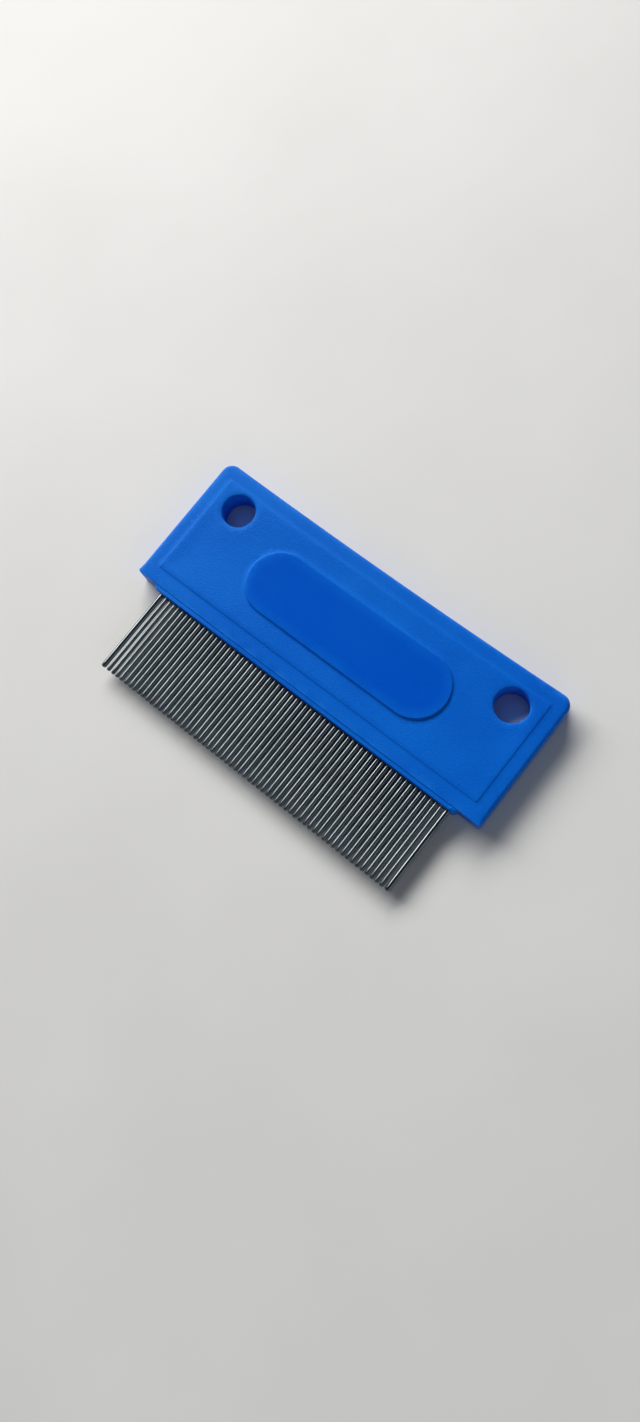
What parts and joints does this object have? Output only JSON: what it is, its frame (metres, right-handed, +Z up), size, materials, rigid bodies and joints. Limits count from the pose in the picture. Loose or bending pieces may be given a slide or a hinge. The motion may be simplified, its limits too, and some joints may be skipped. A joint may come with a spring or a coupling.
{
  "type": "flea comb",
  "caption": "Fine-toothed metal pet comb: a row of straight round steel needles set in the edge of a flat plastic handle with an oval thumb pad and two hanging holes.",
  "frame": {"origin": "centre of the comb's footprint as it lies flat, on the surface under it", "axes": "+X along the handle, to the right when its plain edge points away; +Y in the plane of the comb, from the needle tips towards the handle's plain edge; +Z up, square to the handle's face"},
  "size_m": [0.0738, 0.0424, 0.0047],
  "materials": {
    "handle_plastic": "satin blue injection-moulded plastic with a fine matte grain, glossier on the oval pad",
    "bar_plastic": "matte blue moulded plastic",
    "needle_steel": "drawn steel wire, dull polish"
  },
  "bodies": {
    "root": {"handle": "handle_plastic", "needle_bar": "bar_plastic", "guard_pin_left": "needle_steel", "guard_pin_right": "needle_steel", "needle_01": "needle_steel", "needle_02": "needle_steel", "needle_03": "needle_steel", "needle_04": "needle_steel", "needle_05": "needle_steel", "needle_06": "needle_steel", "needle_07": "needle_steel", "needle_08": "needle_steel", "needle_09": "needle_steel", "needle_10": "needle_steel", "needle_11": "needle_steel", "needle_12": "needle_steel", "needle_13": "needle_steel", "needle_14": "needle_steel", "needle_15": "needle_steel", "needle_16": "needle_steel", "needle_17": "needle_steel", "needle_18": "needle_steel", "needle_19": "needle_steel", "needle_20": "needle_steel", "needle_21": "needle_steel", "needle_22": "needle_steel", "needle_23": "needle_steel", "needle_24": "needle_steel", "needle_25": "needle_steel", "needle_26": "needle_steel", "needle_27": "needle_steel", "needle_28": "needle_steel", "needle_29": "needle_steel", "needle_30": "needle_steel", "needle_31": "needle_steel", "needle_32": "needle_steel", "needle_33": "needle_steel", "needle_34": "needle_steel", "needle_35": "needle_steel", "needle_36": "needle_steel", "needle_37": "needle_steel", "needle_38": "needle_steel", "needle_39": "needle_steel", "needle_40": "needle_steel", "needle_41": "needle_steel", "needle_42": "needle_steel", "needle_43": "needle_steel", "needle_44": "needle_steel", "needle_45": "needle_steel", "needle_46": "needle_steel", "needle_47": "needle_steel", "needle_48": "needle_steel", "needle_49": "needle_steel", "needle_50": "needle_steel", "needle_51": "needle_steel", "needle_pair_1": "needle_steel", "needle_pair_2": "needle_steel", "needle_pair_3": "needle_steel", "needle_pair_4": "needle_steel", "needle_pair_5": "needle_steel"}
  },
  "joints": []
}
